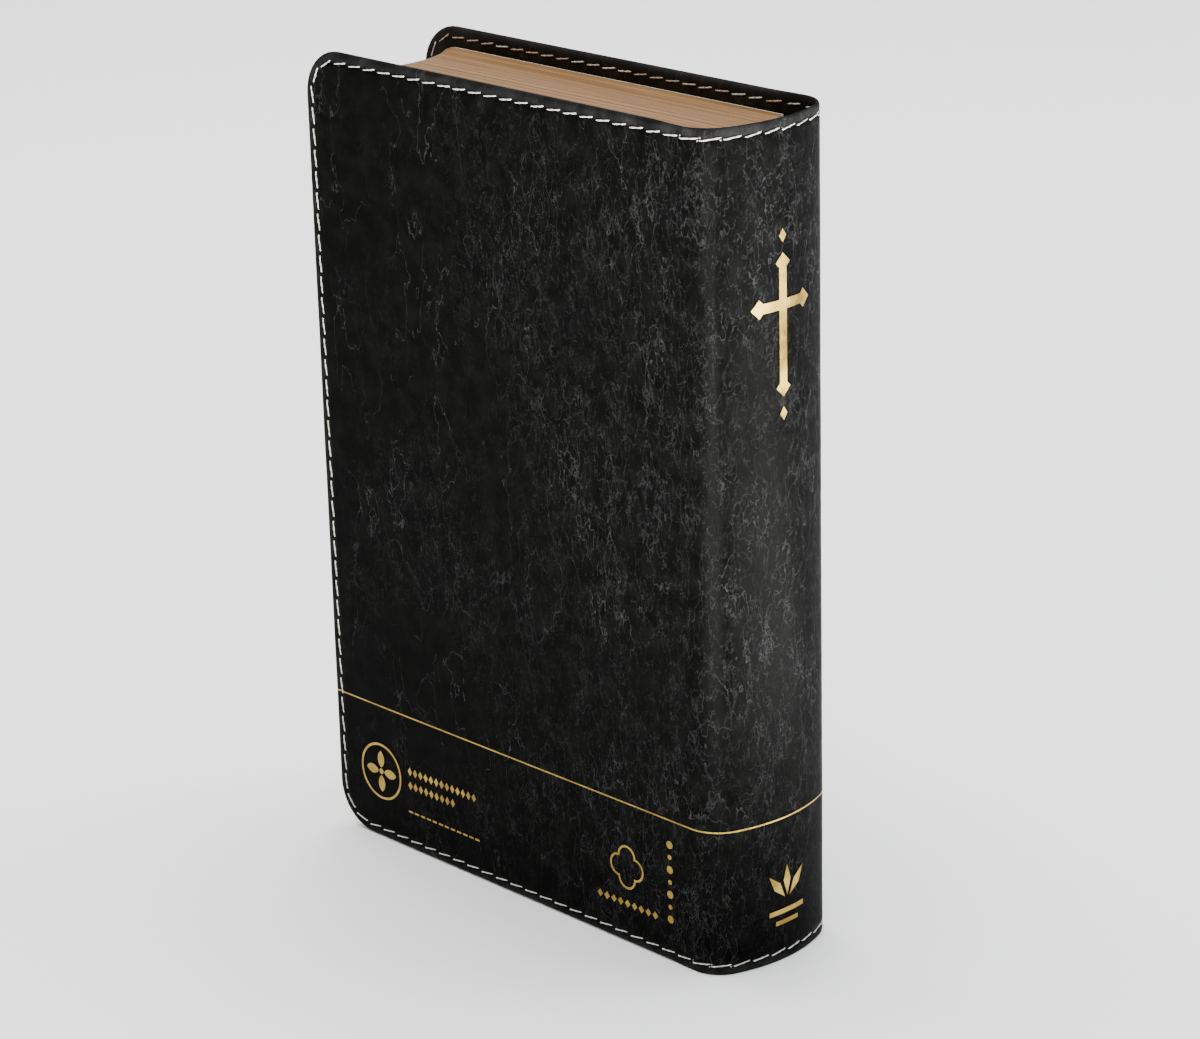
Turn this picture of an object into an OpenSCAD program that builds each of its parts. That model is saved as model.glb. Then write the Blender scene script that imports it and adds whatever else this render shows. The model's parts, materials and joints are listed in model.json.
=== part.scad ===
// A compact leather-bound bible, standing on its tail with the spine at +X.
// The back cover faces -Y, the front cover +Y, and the fore-edge is at -X.
// The origin is at the middle of the footprint, and the covers and the
// outer sections of the text block turn about vertical axes at the spine.

/* [Book] */
// Height of the covers, head to tail
book_h = 165; // [150:1:185]
// Width over the covers, fore-edge to the crown of the spine
book_w = 113; // [105:1:125]
// Thickness over both covers
book_t = 33; // [33:0.5:34]

/* [Covers] */
// Radius of the fore-edge corners
corner_r = 9.5; // [6:0.5:14]
// Thickness of the cover leather
leather_t = 0.8; // [0.6:0.1:1.0]
// Thickness of each flexible board
board_t = 0.8; // [0.5:0.1:0.8]
// Thickness of the leather turned in over the board
turn_in_t = 0.4; // [0.3:0.1:0.4]
// Width of the leather turned in over the board
turn_in_w = 14; // [8:1:20]
// Width of the turned edge round each cover
rim_w = 1; // [0.8:0.1:1.2]
// Thickness of the endpapers
endpaper_t = 0.2; // [0.1:0.05:0.2]
// Leather left showing round each pastedown
pastedown_border = 4.5; // [3:0.5:8]
// Width of the bending leather between a board and the spine
joint_w = 8; // [6:0.5:9]

/* [Spine] */
// Radius of the gently rounded spine leather, in plan
spine_r = 32; // [30:1:36]
// Radius where the spine leather turns into the covers
shoulder_r = 7.5; // [6:0.5:8]

/* [Text block] */
// Leather standing proud of the pages at head, tail and fore-edge
square_w = 3.9; // [3:0.1:5]
// Radius of the rounded block spine, in plan
block_r = 24; // [23:0.5:26]
// Radius of the page corners at the fore-edge
page_corner_r = 7; // [4:0.5:9]
// Gap left between neighbouring sections
section_gap = 0.04; // [0.03:0.01:0.1]

/* [Stitching and foil] */
// Distance of the stitching from the cover's edge
stitch_inset = 2; // [1.4:0.1:2.5]
// Distance from one stitch to the next
stitch_pitch = 4.32; // [4:0.1:5]
// Visible length of one stitch
stitch_len = 3.5; // [3:0.1:3.7]
// Width of the thread
stitch_w = 0.4; // [0.4:0.1:0.6]
// Height of the gold line above the tail
rule_z = 29.7; // [26:0.1:40]
// Width of the gold line
rule_w = 0.3; // [0.3:0.1:0.8]

/* [Hidden] */
$fn = 64;
eps = 0.1;

leather = [0.07, 0.07, 0.07];
gold = [0.82, 0.66, 0.32];
gilt = [0.66, 0.5, 0.33];
paper = [0.93, 0.9, 0.82];
card = [0.62, 0.55, 0.45];
thread = [0.9, 0.87, 0.8];
cloth = [0.85, 0.82, 0.72];

half_w = book_w / 2;
half_t = book_t / 2;
// The shoulder arc runs tangent to the flat cover face and to the spine arc
spine_cx = half_w - spine_r;
shoulder_y = half_t - shoulder_r;
shoulder_x = spine_cx + sqrt(pow(spine_r - shoulder_r, 2) - pow(shoulder_y, 2));
// The covers hinge just before the shoulder
hinge_x = shoulder_x - 0.5;
hinge_gap = 0.1;
board_end_x = hinge_x - joint_w;
cover_t = leather_t + board_t + turn_in_t;
// The block's spine and fore-edge are the same shallow arc, a page apart
block_half_t = half_t - cover_t - endpaper_t - 0.35;
block_edge_x = 43.5;
block_edge_y = 14;
block_cx = block_edge_x - sqrt(pow(block_r, 2) - pow(block_edge_y, 2));
page_w = block_edge_x + half_w - square_w;
section_count = 16;
section_pitch = 2 * block_half_t / section_count;
flyleaf_out = block_half_t + 0.05 + endpaper_t;
// Linings behind the block's spine, clear of the sections as they turn
lining_start = 0.6;
tape_t = 0.25;
lining_gap = 0.05;
band_half_y = 12.5;
tape_zs = [for (k = [0.25, 0.5, 0.75]) k * book_h];
tape_w = 10;
// Stitches lie in a shallow channel
channel_w = 1.2;
channel_depth = 0.35;
thread_t = 0.25;
foil_t = 0.05;

// ---- Shapes in plan (X and Y)

// The case seen from above, from the hinges to the spine, drawn in by inset
module case_plan(inset) {
  reach = 2 * spine_r;
  slope = shoulder_y / (shoulder_x - spine_cx);
  intersection() {
    translate([hinge_x + hinge_gap, -book_t]) square([book_w, 2 * book_t]);
    union() {
      translate([0, inset - half_t]) square([shoulder_x, book_t - 2 * inset]);
      for (s = [-1, 1]) translate([shoulder_x, s * shoulder_y]) circle(shoulder_r - inset);
      intersection() {
        translate([spine_cx, 0]) circle(spine_r - inset, $fn = 160);
        polygon([[spine_cx, 0], [spine_cx + reach, -reach * slope],
          [spine_cx + reach, reach * slope]]);
      }
    }
  }
}

// A layer of the case between two depths below its outer face
module case_layer(depth_0, depth_1, z_0, z_1) {
  translate([0, 0, z_0]) linear_extrude(z_1 - z_0) difference() {
    case_plan(depth_0);
    case_plan(depth_1);
  }
}

// A curved layer behind the block's spine, between two heights above it
module block_layer(rise_0, rise_1, half_y, z_0, z_1) {
  translate([block_cx, 0, z_0]) linear_extrude(z_1 - z_0) intersection() {
    difference() {
      circle(block_r + rise_1, $fn = 128);
      circle(block_r + rise_0, $fn = 128);
    }
    translate([0, -half_y]) square([2 * block_r, 2 * half_y]);
  }
}

// ---- Shapes on a cover (X and Z)

// Outline of a cover drawn in by inset, ending at x_end towards the spine
module cover_outline(inset, x_end) {
  r = max(corner_r - inset, 0.8);
  x_0 = inset - half_w;
  translate([x_0 + r, inset]) square([x_end - x_0 - r, book_h - 2 * inset]);
  translate([x_0, inset + r]) square([x_end - x_0, book_h - 2 * inset - 2 * r]);
  for (z = [inset + r, book_h - inset - r]) translate([x_0 + r, z]) circle(r);
}

// Turns a flat X-Z shape into a layer of the back cover between two depths
module back_layer(depth_0, depth_1) {
  translate([0, depth_1 - half_t, 0]) rotate([90, 0, 0])
    linear_extrude(depth_1 - depth_0) children();
}

module front_side() {
  mirror([0, 1, 0]) children();
}

// ---- Covers, drawn as the back cover

// The children are the flat shapes of the foil stamped into it
module cover_leather() {
  color(leather) difference() {
    union() {
      back_layer(0, leather_t) cover_outline(0, hinge_x - hinge_gap);
      back_layer(0, cover_t) difference() {
        cover_outline(0, hinge_x - hinge_gap);
        cover_outline(rim_w, book_w);
      }
      back_layer(leather_t + board_t, cover_t) difference() {
        cover_outline(0, board_end_x);
        cover_outline(turn_in_w, book_w);
      }
    }
    back_layer(-eps, channel_depth) intersection() {
      difference() {
        cover_outline(stitch_inset - channel_w / 2, book_w);
        cover_outline(stitch_inset + channel_w / 2, book_w);
      }
      translate([-book_w, 0]) square([book_w + hinge_x, book_h]);
    }
    back_layer(-eps, foil_t) children();
  }
}

module cover_board() {
  color(card) back_layer(leather_t, leather_t + board_t) cover_outline(rim_w, board_end_x);
}

module cover_infill() {
  color(card) back_layer(leather_t + board_t, cover_t) cover_outline(turn_in_w, board_end_x);
}

module cover_pastedown() {
  color(paper) back_layer(cover_t, cover_t + endpaper_t)
    cover_outline(pastedown_border, board_end_x);
}

// The stitch line runs along the head, down the fore-edge and along the tail
stitch_r = corner_r - stitch_inset;
bend_x = corner_r - half_w;
head_len = hinge_x - 1 - bend_x;
bend_len = stitch_r * PI / 2;
side_len = book_h - 2 * corner_r;
line_len = 2 * head_len + 2 * bend_len + side_len;
stitch_count = round(line_len / stitch_pitch);

// Place and direction of the stitch line, d from its start: [x, z, angle]
function stitch_at(d) =
  d < head_len ? [hinge_x - 1 - d, book_h - stitch_inset, 180]
  : d < head_len + bend_len ? bend_at(book_h - corner_r, 90 + (d - head_len) / stitch_r * 180 / PI)
  : d < head_len + bend_len + side_len
    ? [stitch_inset - half_w, book_h - corner_r - (d - head_len - bend_len), 270]
  : d < line_len - head_len
    ? bend_at(corner_r, 180 + (d - head_len - bend_len - side_len) / stitch_r * 180 / PI)
  : [bend_x + d - (line_len - head_len), stitch_inset, 0];

function bend_at(z, a) = [bend_x + stitch_r * cos(a), z + stitch_r * sin(a), a + 90];

module cover_stitching() {
  color(thread) back_layer(channel_depth - thread_t, channel_depth)
    for (i = [0 : stitch_count - 1])
      let (p = stitch_at((i + 0.5) * line_len / stitch_count))
        translate([p[0], p[1]]) rotate(p[2]) square([stitch_len, stitch_w], center = true);
}

// ---- Foil on the covers, as flat shapes that are stamped flush

module rule_mark() {
  translate([-half_w, rule_z - rule_w / 2]) square([half_w + hinge_x - hinge_gap, rule_w]);
}

module ring(r, w) {
  difference() {
    circle(r);
    circle(r - w);
  }
}

// A ring round a four-petalled rosette
module round_mark() {
  translate([-42.7, 15.1]) {
    ring(6.2, 0.5);
    for (a = [0 : 90 : 270]) rotate(a) translate([0, 2.7]) intersection() {
      translate([1.2, 0]) circle(2.2);
      translate([-1.2, 0]) circle(2.2);
    }
    circle(0.6);
  }
}

// Two rows of lozenges over a fine row of dashes, beside the rosette
module caption_mark() {
  translate([-34.5, 0]) {
    for (i = [0 : 12]) translate([0.8 + i * 1.62, 17.6]) lozenge(1.3, 1.9);
    for (i = [0 : 8]) translate([0.8 + i * 1.62, 14.5]) lozenge(1.3, 1.9);
    for (i = [0 : 11]) translate([i * 1.84, 8.4]) square([1.3, 0.4]);
  }
}

// Four joined rings over a short row of lozenges
module quatrefoil_mark() {
  translate([29.6, 16.2]) {
    difference() {
      for (a = [0 : 90 : 270]) rotate(a) translate([2.2, 0]) circle(2.4);
      for (a = [0 : 90 : 270]) rotate(a) translate([2.2, 0]) circle(1.95);
      square(3, center = true);
    }
    for (i = [-4 : 4]) translate([i * 1.9, -7.7]) lozenge(1.5, 1.7);
  }
}

// A column of small beads beside the spine
module bead_mark() {
  for (i = [0 : 6]) translate([41.4, 9 + i * 2.6]) circle(i % 2 == 0 ? 0.8 : 0.5);
}

// Foil pressed into the leather of the back cover
module cover_foil() {
  color(gold) back_layer(0, foil_t) children();
}

// ---- Spine

module spine_leather() {
  color(leather) difference() {
    union() {
      case_layer(0, leather_t, 0, book_h);
      for (z = [0, book_h - turn_in_w])
        case_layer(0, leather_t + turn_in_t, z, z + turn_in_w);
      for (z = [0, book_h - rim_w]) case_layer(0, cover_t, z, z + rim_w);
    }
    for (z = [stitch_inset, book_h - stitch_inset])
      case_layer(-eps, channel_depth, z - channel_w / 2, z + channel_w / 2);
    spine_stamp(-eps) spine_rule_mark();
    spine_stamp(-eps) cross_mark();
    spine_stamp(-eps) foot_mark();
  }
}

// A flexible card that keeps the spine leather's curve
module spine_inlay() {
  color(card) intersection() {
    case_layer(leather_t, leather_t + 0.6, turn_in_w + 1, book_h - turn_in_w - 1);
    translate([0, -10.5, 0]) cube([book_w, 21, book_h]);
  }
}

// Stitches follow the spine arc at head and tail, with one at each shoulder
thread_rise = thread_t / 2 - channel_depth;
spine_stitch_step = stitch_pitch / spine_r * 180 / PI;

module spine_stitch(r, a) {
  rotate([0, 0, a]) translate([r + thread_rise, 0, 0])
    cube([thread_t, stitch_len, stitch_w], center = true);
}

module spine_stitching() {
  color(thread) for (z = [stitch_inset, book_h - stitch_inset]) {
    for (i = [-2 : 2]) translate([spine_cx, 0, z]) spine_stitch(spine_r, i * spine_stitch_step);
    for (s = [-1, 1]) translate([shoulder_x, s * shoulder_y, z]) spine_stitch(shoulder_r, s * 54);
  }
}

// Lays a flat Y-Z shape on the spine, from a depth down to the foil's own
module spine_stamp(depth_0) {
  intersection() {
    case_layer(depth_0, foil_t, eps, book_h - eps);
    rotate([90, 0, 90]) linear_extrude(book_w) children();
  }
}

module spine_foil() {
  color(gold) spine_stamp(0) children();
}

module spine_rule_mark() {
  translate([-half_t - eps, rule_z - rule_w / 2]) square([book_t + 2 * eps, rule_w]);
}

module lozenge(w, h) {
  polygon([[-w / 2, 0], [0, -h / 2], [w / 2, 0], [0, h / 2]]);
}

// A plain Latin cross with lozenge ends, between two small lozenges
module cross_mark() {
  arm = 1.9;
  translate([0, 127.5]) {
    translate([-arm / 2, -12]) square([arm, 22.5]);
    translate([-5.2, 2.2]) square([10.4, arm]);
    for (end = [[0, -12.5], [0, 11], [-5.7, 3.15], [5.7, 3.15]]) translate(end) lozenge(3.6, 3.6);
    for (z = [-17.5, 16]) translate([0, z]) lozenge(1.8, 2.6);
  }
}

// Three fanned leaves over two short bars
module foot_mark() {
  translate([0, 10.5]) {
    for (a = [-38, 0, 38]) translate([0, 2]) rotate(a) translate([0, 4.2]) lozenge(1.9, 6.4);
    translate([-4.6, -0.6]) square([9.2, 1]);
    translate([-3, -2.8]) square([6, 0.9]);
  }
}

// ---- Behind the block's spine

module sewing_tapes() {
  color(cloth) for (z = tape_zs)
    block_layer(lining_start, lining_start + tape_t, band_half_y, z - tape_w / 2, z + tape_w / 2);
}

// One loop of thread over each tape for each section
module section_sewing() {
  color(thread) for (z = tape_zs, i = [0 : section_count - 1])
    let (a = asin((i - (section_count - 1) / 2) * section_pitch * 0.92 / block_r))
      translate([block_cx, 0, z]) rotate([0, 0, a])
        translate([block_r + lining_start + tape_t + 0.14, 0, 0])
          cube([0.24, 0.4, tape_w + 0.6], center = true);
}

mull_start = lining_start + tape_t + 0.3;

module mull() {
  color(cloth) block_layer(mull_start, mull_start + 0.2, band_half_y, 12, book_h - 12);
}

module spine_lining() {
  rise = mull_start + 0.2 + lining_gap;
  color(paper) block_layer(rise, rise + 0.3, 12, 6, book_h - 6);
}

// A slim worked bead behind the ends of the sections, level with them, on a cloth tail
module end_band() {
  bead_r = 0.5;
  top = book_h - square_w;
  color(thread) intersection() {
    union() {
      translate([block_cx, 0, top - bead_r]) rotate_extrude($fn = 128)
        translate([block_r + lining_start + bead_r, 0]) circle(bead_r, $fn = 24);
      block_layer(lining_start, lining_start + tape_t, 12, top - 9, top - bead_r);
    }
    translate([block_cx, -12, 0]) cube([2 * block_r, 24, book_h]);
  }
}

module head_band() {
  end_band();
}

module tail_band() {
  translate([0, 0, book_h]) mirror([0, 0, 1]) end_band();
}

// ---- Text block, drawn on the front side

function block_spine_x(y) = block_cx + sqrt(pow(block_r, 2) - pow(y, 2));

module page_outline(x_0, x_1) {
  r = page_corner_r;
  z_0 = square_w;
  z_1 = book_h - square_w;
  translate([x_0 + r, z_0]) square([x_1 - x_0 - r, z_1 - z_0]);
  translate([x_0, z_0 + r]) square([x_1 - x_0, z_1 - z_0 - 2 * r]);
  for (z = [z_0 + r, z_1 - r]) translate([x_0 + r, z]) circle(r);
}

// Section k counts inwards from the cover, and its folded edge is rounded
module section(k) {
  y_out = block_half_t - k * section_pitch;
  y_in = y_out - section_pitch + section_gap;
  fold_r = (y_out - y_in) / 2;
  x_1 = block_spine_x(y_out);
  fore_out = x_1 - page_w;
  fore_in = block_spine_x(y_in) - page_w;
  color(k % 2 == 0 ? gilt : gilt * 0.94) intersection() {
    translate([0, y_out + eps, 0]) rotate([90, 0, 0])
      linear_extrude(y_out - y_in + 2 * eps) page_outline(fore_out, x_1 + 1);
    linear_extrude(book_h) {
      polygon([[fore_out, y_out], [fore_in, y_in], [x_1 - fold_r, y_in], [x_1 - fold_r, y_out]]);
      translate([x_1 - fold_r, (y_in + y_out) / 2]) circle(fold_r);
    }
  }
}

module section_number(n) {
  half = section_count / 2;
  if (n <= half) section(n - 1);
  else mirror([0, 1, 0]) section(section_count - n);
}

module flyleaf() {
  color(paper) translate([0, flyleaf_out, 0]) rotate([90, 0, 0]) linear_extrude(endpaper_t)
    page_outline(block_edge_x - page_w, block_edge_x);
}

module front_flyleaf() {
  flyleaf();
}

module back_flyleaf() {
  mirror([0, 1, 0]) flyleaf();
}

// ---- The pieces of each cover

module front_cover_leather() {
  front_side() cover_leather() rule_mark();
}

module back_cover_leather() {
  cover_leather() {
    rule_mark();
    round_mark();
    caption_mark();
    quatrefoil_mark();
    bead_mark();
  }
}

module front_board() {
  front_side() cover_board();
}

module front_infill() {
  front_side() cover_infill();
}

module front_pastedown() {
  front_side() cover_pastedown();
}

module front_stitching() {
  front_side() cover_stitching();
}

module front_gold_rule() {
  front_side() cover_foil() rule_mark();
}

spine_leather();
spine_inlay();
spine_stitching();
spine_foil() spine_rule_mark();  // spine_gold_rule
spine_foil() cross_mark();  // spine_cross_ornament
spine_foil() foot_mark();  // spine_foot_ornament
spine_lining();
mull();
sewing_tapes();
section_sewing();
head_band();
tail_band();
section_number(1);  // section_01
section_number(2);  // section_02
section_number(3);  // section_03
section_number(4);  // section_04
section_number(5);  // section_05
section_number(6);  // section_06
section_number(7);  // section_07
section_number(8);  // section_08
section_number(9);  // section_09
section_number(10);  // section_10
section_number(11);  // section_11
section_number(12);  // section_12
section_number(13);  // section_13
section_number(14);  // section_14
section_number(15);  // section_15
section_number(16);  // section_16
front_flyleaf();
back_flyleaf();
front_cover_leather();
front_board();
front_infill();
front_pastedown();
front_stitching();
front_gold_rule();
back_cover_leather();
cover_board();  // back_board
cover_infill();  // back_infill
cover_pastedown();  // back_pastedown
cover_stitching();  // back_stitching
cover_foil() rule_mark();  // back_gold_rule
cover_foil() round_mark();  // back_round_ornament
cover_foil() caption_mark();  // back_caption_rows
cover_foil() quatrefoil_mark();  // back_quatrefoil
cover_foil() bead_mark();  // back_bead_column
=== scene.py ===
import json
import math

import bmesh
import bpy
from mathutils import Matrix, Vector, noise

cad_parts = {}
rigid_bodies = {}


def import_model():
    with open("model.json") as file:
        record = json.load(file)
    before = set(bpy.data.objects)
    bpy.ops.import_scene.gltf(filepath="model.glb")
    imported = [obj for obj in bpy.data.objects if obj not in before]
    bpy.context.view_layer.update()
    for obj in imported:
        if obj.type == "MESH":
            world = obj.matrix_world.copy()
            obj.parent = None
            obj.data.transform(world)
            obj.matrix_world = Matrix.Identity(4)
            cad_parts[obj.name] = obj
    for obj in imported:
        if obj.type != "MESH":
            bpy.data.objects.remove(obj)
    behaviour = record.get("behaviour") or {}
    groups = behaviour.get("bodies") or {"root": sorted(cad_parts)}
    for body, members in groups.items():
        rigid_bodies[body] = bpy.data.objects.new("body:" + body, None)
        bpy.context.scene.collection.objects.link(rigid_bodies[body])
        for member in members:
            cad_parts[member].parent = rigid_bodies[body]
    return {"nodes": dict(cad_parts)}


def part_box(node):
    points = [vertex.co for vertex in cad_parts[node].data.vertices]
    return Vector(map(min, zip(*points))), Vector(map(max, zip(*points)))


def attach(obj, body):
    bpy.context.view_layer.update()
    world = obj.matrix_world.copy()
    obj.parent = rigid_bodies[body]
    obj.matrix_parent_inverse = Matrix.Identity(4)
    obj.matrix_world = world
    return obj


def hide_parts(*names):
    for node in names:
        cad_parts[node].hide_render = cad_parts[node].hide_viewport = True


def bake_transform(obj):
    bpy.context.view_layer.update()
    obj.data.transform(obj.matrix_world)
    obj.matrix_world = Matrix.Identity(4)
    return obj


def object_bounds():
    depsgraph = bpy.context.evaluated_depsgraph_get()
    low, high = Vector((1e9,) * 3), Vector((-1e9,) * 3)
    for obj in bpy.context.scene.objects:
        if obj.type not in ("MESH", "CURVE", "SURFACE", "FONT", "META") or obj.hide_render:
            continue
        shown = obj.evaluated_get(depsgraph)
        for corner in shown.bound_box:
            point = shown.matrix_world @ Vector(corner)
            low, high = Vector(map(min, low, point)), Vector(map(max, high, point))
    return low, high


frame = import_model()
cad_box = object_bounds()

MM = 0.001
half_w = cad_box[1].x
half_t = cad_box[1].y
book_h = cad_box[1].z
scene_objects = bpy.context.scene.collection.objects

# ---- Camera
# A long lens, a little above the book, looks at the back cover and the spine.

camera_data = bpy.data.cameras.new("camera")
camera_data.sensor_width = 36
camera_data.lens = 111
camera = bpy.data.objects.new("camera", camera_data)
camera_azimuth = math.radians(46.42)
camera_elevation = math.radians(19.43)
camera_roll = math.radians(-1.41)
camera_target = Vector((7.17 * MM, 0, 77.7 * MM))
camera_distance = 719 * MM
camera_back = Vector((
    math.sin(camera_azimuth) * math.cos(camera_elevation),
    -math.cos(camera_azimuth) * math.cos(camera_elevation),
    math.sin(camera_elevation),
))
camera.matrix_world = (
    Matrix.Translation(camera_target + camera_distance * camera_back)
    @ camera_back.to_track_quat("Z", "Y").to_matrix().to_4x4()
    @ Matrix.Rotation(camera_roll, 4, "Z")
)
scene_objects.link(camera)
bpy.context.scene.camera = camera

# ---- Lights and floor
# A big overhead softbox, a low strip that lights the shoulder of the spine, and
# a broad side light stand round a plain white table. Two glowing cards lie on
# the table, on the spine's side.


def softbox(name, place, aim, width, height, power, colour=(1, 1, 1)):
    """An area light at place that faces aim, out of the camera's sight; metres and watts."""
    data = bpy.data.lights.new(name, "AREA")
    data.shape = "RECTANGLE"
    data.size = width
    data.size_y = height
    data.energy = power
    data.color = colour
    lamp = bpy.data.objects.new(name, data)
    lamp.location = place
    lamp.rotation_mode = "QUATERNION"
    lamp.rotation_quaternion = (Vector(aim) - Vector(place)).to_track_quat("-Z", "Y")
    lamp.visible_camera = False
    scene_objects.link(lamp)
    return lamp


def table_card(name, place, turn, width, length, power):
    """A glowing card on the table, turned by degrees about Z, that shines straight up."""
    above = (place[0], place[1], place[2] + 1)
    card = softbox(name, place, above, width, length, power)
    facing_up = Matrix.Rotation(math.pi, 3, "X")
    turned = Matrix.Rotation(math.radians(turn), 3, "Z")
    card.rotation_quaternion = (turned @ facing_up).to_quaternion()


book_middle = (0, 0, book_h / 2)
softbox("overhead_softbox", (-0.3, 0.1, 1.6), (0, 0, 0), 1.6, 1.6, 62)
softbox("shoulder_strip", (0.68, -0.84, 0.16), book_middle, 0.2, 0.3, 6)
softbox("far_side_light", (0.9, 1.2, 0.5), book_middle, 1.2, 0.9, 19, (0.8, 0.9, 1))
table_card("shoulder_card", (0.27, -0.26, 0.004), 46, 0.14, 0.4, 14)
table_card("spine_card", (0.33, 0.12, 0.004), 110, 0.16, 0.4, 8)

world = bpy.data.worlds.new("studio")
world.use_nodes = True
world.node_tree.nodes["Background"].inputs["Color"].default_value = (1, 1, 1, 1)
world.node_tree.nodes["Background"].inputs["Strength"].default_value = 0.6
bpy.context.scene.world = world

bpy.ops.mesh.primitive_plane_add(size=8)
floor = bpy.context.object
floor.name = "floor"
floor_paint = bpy.data.materials.new("floor_paint")
floor_paint.use_nodes = True
floor_shader = floor_paint.node_tree.nodes["Principled BSDF"]
floor_shader.inputs["Base Color"].default_value = (0.95, 0.95, 0.95, 1)
floor_shader.inputs["Roughness"].default_value = 0.9
floor_shader.inputs["Specular IOR Level"].default_value = 0
floor.data.materials.append(floor_paint)

# ---- Leather of the case
# One skin of black calf wraps both covers and the spine, and is turned in over
# the boards all round. It is pared, glued and sewn close to its rolled edge.


def add_node(tree, kind, inputs=(), **settings):
    """Adds a node to a tree, with its inputs given as values or as other sockets."""
    made = tree.nodes.new(kind)
    for name, value in settings.items():
        setattr(made, name, value)
    for key, value in dict(inputs).items():
        if isinstance(value, bpy.types.NodeSocket):
            tree.links.new(value, made.inputs[key])
        else:
            made.inputs[key].default_value = value
    return made


def maths(tree, operation, a, b=0.0, c=0.0):
    """The result of a maths node on values or sockets."""
    return add_node(tree, "ShaderNodeMath", {0: a, 1: b, 2: c}, operation=operation).outputs[0]


def vector_maths(tree, operation, a, b):
    """The result of a vector maths node; b is the factor when scaling."""
    key = "Scale" if operation == "SCALE" else 1
    made = add_node(tree, "ShaderNodeVectorMath", {0: a, key: b}, operation=operation)
    return made.outputs[0]


def ramp(tree, value, low, high):
    """A mask that runs smoothly from 0 where value is low to 1 where it is high."""
    made = add_node(
        tree, "ShaderNodeMapRange", {"Value": value, "From Min": low, "From Max": high},
        interpolation_type="SMOOTHSTEP",
    )
    return made.outputs["Result"]


def mix_colour(tree, share, a, b):
    """A colour that goes from a to b with share."""
    made = add_node(tree, "ShaderNodeMix", {0: share, 6: a, 7: b}, data_type="RGBA")
    return made.outputs[2]


def strongest(tree, *masks):
    """The largest of several masks at each place."""
    largest = masks[0]
    for mask in masks[1:]:
        largest = maths(tree, "MAXIMUM", largest, mask)
    return largest


def stretched(tree, vector, scale, lean=0.0):
    """Places scaled and then turned by lean, so that marks laid on them run long."""
    inputs = {"Vector": vector, "Rotation": (0, 0, lean), "Scale": scale}
    return add_node(tree, "ShaderNodeMapping", inputs).outputs[0]


def speckle(tree, vector, scale, detail=3.0):
    """The value of a noise texture."""
    inputs = {"Vector": vector, "Scale": scale, "Detail": detail}
    return add_node(tree, "ShaderNodeTexNoise", inputs).outputs["Fac"]


def new_group(name, kind, inputs, outputs):
    """An empty node group. An input given as a number is a float with that default."""
    group = bpy.data.node_groups.new(name, kind)
    for label, value in inputs.items():
        socket_type = value if isinstance(value, str) else "NodeSocketFloat"
        socket = group.interface.new_socket(label, in_out="INPUT", socket_type=socket_type)
        if not isinstance(value, str):
            socket.default_value = value
    for label, value in outputs.items():
        group.interface.new_socket(label, in_out="OUTPUT", socket_type=value)
    return group


def new_material(name, roughness, specular=0.5, metallic=0.0):
    """A named material, with its node tree and its Principled shader."""
    material = bpy.data.materials.new(name)
    material.use_nodes = True
    shader = material.node_tree.nodes["Principled BSDF"]
    shader.inputs["Roughness"].default_value = roughness
    shader.inputs["Specular IOR Level"].default_value = specular
    shader.inputs["Metallic"].default_value = metallic
    return material, material.node_tree, shader


def add_bump(tree, shader, height, distance, strength=1.0):
    """Raises the surface by height times distance, in metres."""
    inputs = {"Strength": strength, "Distance": distance, "Height": height}
    bump = add_node(tree, "ShaderNodeBump", inputs)
    tree.links.new(bump.outputs[0], shader.inputs["Normal"])


def crease_group():
    """Broken, wandering creases: Lines is 1 along them and 0 between them."""
    group = new_group(
        "crease_lines",
        "ShaderNodeTree",
        {"Vector": "NodeSocketVector", "Scale": 20.0, "Width": 0.04, "Wander": 0.05, "Gaps": 0.5},
        {"Lines": "NodeSocketFloat"},
    )
    given = add_node(group, "NodeGroupInput").outputs
    sway_inputs = {
        "Vector": given["Vector"], "Scale": maths(group, "MULTIPLY", given["Scale"], 0.8), "Detail": 3
    }
    sway = add_node(group, "ShaderNodeTexNoise", sway_inputs).outputs["Color"]
    centred = vector_maths(group, "SUBTRACT", sway, (0.5, 0.5, 0.5))
    shift = vector_maths(group, "SCALE", centred, given["Wander"])
    swayed = vector_maths(group, "ADD", given["Vector"], shift)
    cells = add_node(
        group, "ShaderNodeTexVoronoi", {"Vector": swayed, "Scale": given["Scale"]},
        feature="DISTANCE_TO_EDGE",
    )
    line = ramp(group, cells.outputs["Distance"], given["Width"], 0.0)
    breaks = speckle(group, swayed, maths(group, "MULTIPLY", given["Scale"], 1.4), 2.0)
    shown = ramp(
        group, breaks, maths(group, "SUBTRACT", given["Gaps"], 0.06),
        maths(group, "ADD", given["Gaps"], 0.12),
    )
    result = add_node(group, "NodeGroupOutput")
    group.links.new(maths(group, "MULTIPLY", line, shown), result.inputs["Lines"])
    return group


crease_lines = crease_group()


def creased(tree, vector, scale, width, wander, gaps):
    """The Lines output of the crease group, set up with its own values."""
    made = tree.nodes.new("ShaderNodeGroup")
    made.node_tree = crease_lines
    tree.links.new(vector, made.inputs["Vector"])
    for name, value in (("Scale", scale), ("Width", width), ("Wander", wander), ("Gaps", gaps)):
        made.inputs[name].default_value = value
    return made.outputs["Lines"]


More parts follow.
